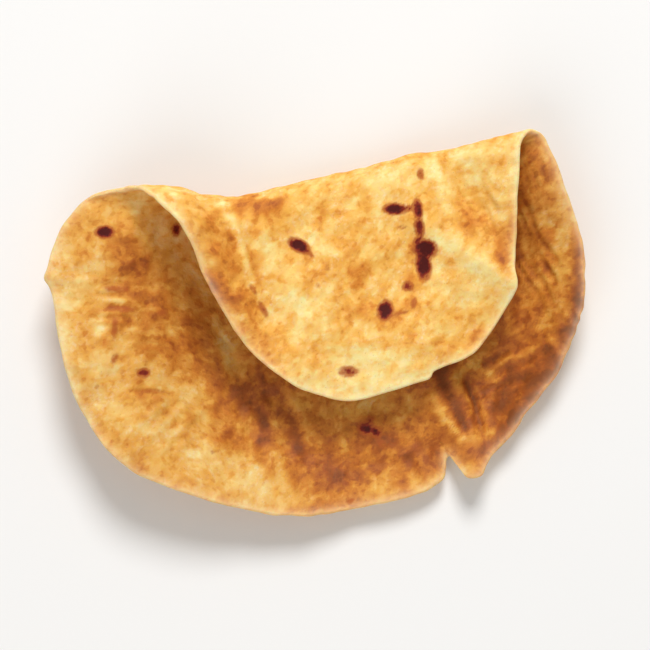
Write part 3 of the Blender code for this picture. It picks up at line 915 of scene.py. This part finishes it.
def crust_bump(nodes, place, blotches, grain, fine, char):
    """Normal of the fine unevenness, with pores, and with the charred spots sunk in."""
    pores = nodes.range(nodes.cells(place, PORE_CELLS), *PORE_BAND)
    height = nodes.math("MULTIPLY", blotches, BLOTCH_HEIGHT)
    layers = ((grain, GRAIN_HEIGHT), (fine, FINE_HEIGHT), (pores, PORE_HEIGHT), (char, -CHAR_DEPTH))
    for layer, amount in layers:
        height = nodes.math("ADD", height, nodes.math("MULTIPLY", layer, amount))
    return nodes.add("Bump", Strength=BUMP_STRENGTH, Distance=BUMP_HEIGHT, Height=height).outputs[0]


def bread_material():
    material = bpy.data.materials.new("griddled_bread")
    nodes = Nodes(material)
    side = nodes.attribute("inner_side")
    shift = nodes.add("CombineXYZ", Z=nodes.math("MULTIPLY", side, INNER_NOISE_SHIFT)).outputs[0]
    sheet = nodes.attribute("sheet_place", "Vector")
    place = nodes.add("VectorMath", {"operation": "ADD"}, i0=sheet, i1=shift).outputs[0]
    blotches = nodes.noise(place, *BLOTCHES)
    grain = nodes.noise(place, *GRAIN)
    fine = nodes.noise(place, *FINE)

    toast_and_shading = browning(nodes, place, blotches, grain, fine)
    colour, char = scorched(nodes, place, crust_colour(nodes, place, toast_and_shading, grain, side))
    rough = nodes.range(toast_and_shading, *ROUGHNESS_BAND, *ROUGHNESS)
    rough = nodes.math("ADD", rough, nodes.swing(fine, FINE_ROUGHNESS))

    shader = nodes.tree.nodes["Principled BSDF"]
    nodes.put(colour, shader.inputs["Base Color"])
    nodes.put(rough, shader.inputs["Roughness"])
    nodes.put(crust_bump(nodes, place, blotches, grain, fine, char), shader.inputs["Normal"])
    shader.inputs["Specular IOR Level"].default_value = 0.28
    shader.inputs["Subsurface Weight"].default_value = 0.5
    shader.inputs["Subsurface Radius"].default_value = (1.0, 0.45, 0.15)
    shader.inputs["Subsurface Scale"].default_value = 2.4 * MM
    return material


# ---------------------------------------------------------------- the bread

bread = bpy.data.objects.new("chapati_bread", fine_mesh())
bread.data.materials.append(bread_material())
bpy.context.scene.collection.objects.link(bread)
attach(bread, "root")
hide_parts("chapati")

# ---------------------------------------------------------------- floor, light and camera

# Metres, watts and degrees. A lamp's azimuth runs clockwise from the fold's side, seen from above.
FLOOR_HALF_SIZE = 3.0
FLOOR_GREY = 0.88
LAMP_DISTANCE = 2.5
LAMP_COLOUR = (1.0, 0.998, 0.992)
KEY_SIZE = 0.95
KEY_POWER = 48.0
KEY_AZIMUTH = 6.0
KEY_ELEVATION = 46.0
FRONT_SIZE = 2.4                # a weak second lamp in front, for the inside of the fold
FRONT_POWER = 20.0
FRONT_AZIMUTH = 205.0
FRONT_ELEVATION = 42.0
FILL_STRENGTH = 0.37
FILL_COLOUR = (1.0, 0.965, 0.91, 1.0)
VIEW_CENTRE = (0.0021, -0.0008)
VIEW_WIDTH = 0.2145             # width in view at VIEW_HEIGHT, the height of most of the rim
VIEW_HEIGHT = 0.022
LENS = 200.0                    # millimetres, as the sensor's width is
SENSOR = 36.0


def make_floor():
    mesh = bpy.data.meshes.new("floor")
    half = FLOOR_HALF_SIZE
    corners = [(-half, -half, 0), (half, -half, 0), (half, half, 0), (-half, half, 0)]
    mesh.from_pydata(corners, [], [(0, 1, 2, 3)])
    floor = bpy.data.objects.new("floor", mesh)
    material = bpy.data.materials.new("floor")
    shader = Nodes(material).tree.nodes["Principled BSDF"]
    shader.inputs["Base Color"].default_value = (FLOOR_GREY, FLOOR_GREY, FLOOR_GREY, 1.0)
    shader.inputs["Roughness"].default_value = 0.9
    shader.inputs["Specular IOR Level"].default_value = 0.1
    mesh.materials.append(material)
    bpy.context.scene.collection.objects.link(floor)


def make_lamp(name, size, power, azimuth, elevation):
    light = bpy.data.lights.new(name, "AREA")
    light.shape = "DISK"
    light.size = size
    light.energy = power
    light.color = LAMP_COLOUR
    lamp = bpy.data.objects.new(name, light)
    azimuth, elevation = math.radians(azimuth), math.radians(elevation)
    lamp.location = (
        LAMP_DISTANCE * math.cos(elevation) * math.sin(azimuth),
        LAMP_DISTANCE * math.cos(elevation) * math.cos(azimuth),
        LAMP_DISTANCE * math.sin(elevation),
    )
    lamp.rotation_euler = (math.pi / 2 - elevation, 0.0, math.pi - azimuth)
    bpy.context.scene.collection.objects.link(lamp)


def make_world():
    world = bpy.data.worlds.new("studio")
    world.use_nodes = True
    background = world.node_tree.nodes["Background"]
    background.inputs["Color"].default_value = FILL_COLOUR
    background.inputs["Strength"].default_value = FILL_STRENGTH
    bpy.context.scene.world = world


def make_camera():
    camera = bpy.data.cameras.new("camera")
    camera.lens = LENS
    camera.sensor_width = SENSOR
    viewer = bpy.data.objects.new("camera", camera)
    viewer.location = (*VIEW_CENTRE, VIEW_HEIGHT + VIEW_WIDTH * LENS / SENSOR)
    bpy.context.scene.collection.objects.link(viewer)
    bpy.context.scene.camera = viewer


make_floor()
make_lamp("key", KEY_SIZE, KEY_POWER, KEY_AZIMUTH, KEY_ELEVATION)
make_lamp("front", FRONT_SIZE, FRONT_POWER, FRONT_AZIMUTH, FRONT_ELEVATION)
make_world()
make_camera()
bpy.context.scene.view_settings.view_transform = "Standard"
